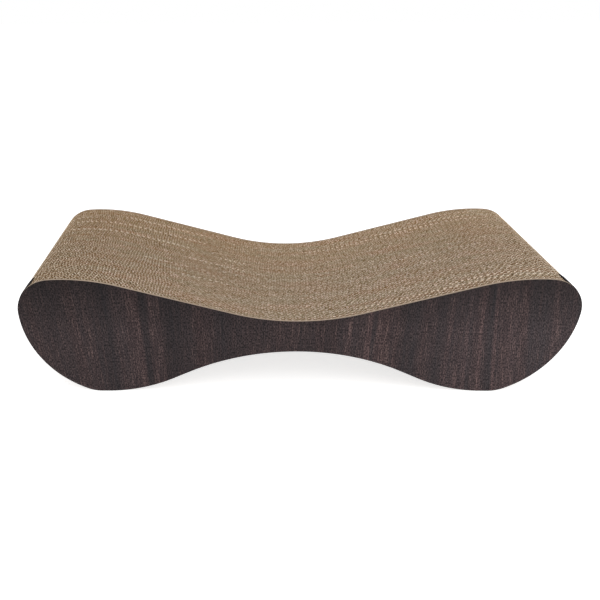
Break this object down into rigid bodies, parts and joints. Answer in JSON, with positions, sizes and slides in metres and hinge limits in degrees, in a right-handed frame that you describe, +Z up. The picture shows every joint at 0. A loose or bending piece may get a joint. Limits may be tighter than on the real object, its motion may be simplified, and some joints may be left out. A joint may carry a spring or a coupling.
{
  "type": "cat scratching lounge",
  "caption": "Wave-shaped corrugated cardboard scratching lounge with a hollow to lie in, an arched underside and dark wood-look side panels.",
  "frame": {"origin": "centre of the footprint, on the floor", "axes": "+X along the lounge, +Y from the front panel to the back panel, +Z up"},
  "size_m": [0.701, 0.2522, 0.165],
  "materials": {
    "corrugated_board": "matte",
    "side_board": "matte",
    "wood_look_facing": "satin",
    "end_tab": "satin"
  },
  "bodies": {
    "root": {"front_panel": "side_board", "front_facing": "wood_look_facing", "back_panel": "side_board", "back_facing": "wood_look_facing", "front_left_end_tab": "end_tab", "front_right_end_tab": "end_tab", "core_strip_01": "corrugated_board", "core_strip_02": "corrugated_board", "core_strip_03": "corrugated_board", "core_strip_04": "corrugated_board", "core_strip_05": "corrugated_board", "core_strip_06": "corrugated_board", "core_strip_07": "corrugated_board", "core_strip_08": "corrugated_board", "core_strip_09": "corrugated_board", "core_strip_10": "corrugated_board", "core_strip_11": "corrugated_board", "core_strip_12": "corrugated_board", "core_strip_13": "corrugated_board", "core_strip_14": "corrugated_board", "core_strip_15": "corrugated_board", "core_strip_16": "corrugated_board", "core_strip_17": "corrugated_board", "core_strip_18": "corrugated_board", "core_strip_19": "corrugated_board", "core_strip_20": "corrugated_board", "core_strip_21": "corrugated_board", "core_strip_22": "corrugated_board", "core_strip_23": "corrugated_board", "core_strip_24": "corrugated_board", "core_strip_25": "corrugated_board", "core_strip_26": "corrugated_board", "core_strip_27": "corrugated_board", "core_strip_28": "corrugated_board", "core_strip_29": "corrugated_board", "core_strip_30": "corrugated_board", "core_strip_31": "corrugated_board", "core_strip_32": "corrugated_board", "core_strip_33": "corrugated_board", "core_strip_34": "corrugated_board", "core_strip_35": "corrugated_board", "core_strip_36": "corrugated_board", "core_strip_37": "corrugated_board", "core_strip_38": "corrugated_board", "core_strip_39": "corrugated_board", "core_strip_40": "corrugated_board", "core_strip_41": "corrugated_board", "core_strip_42": "corrugated_board", "core_strip_43": "corrugated_board", "core_strip_44": "corrugated_board", "core_strip_45": "corrugated_board", "core_strip_46": "corrugated_board", "core_strip_47": "corrugated_board", "core_strip_48": "corrugated_board", "core_strip_49": "corrugated_board", "core_strip_50": "corrugated_board"}
  },
  "joints": []
}
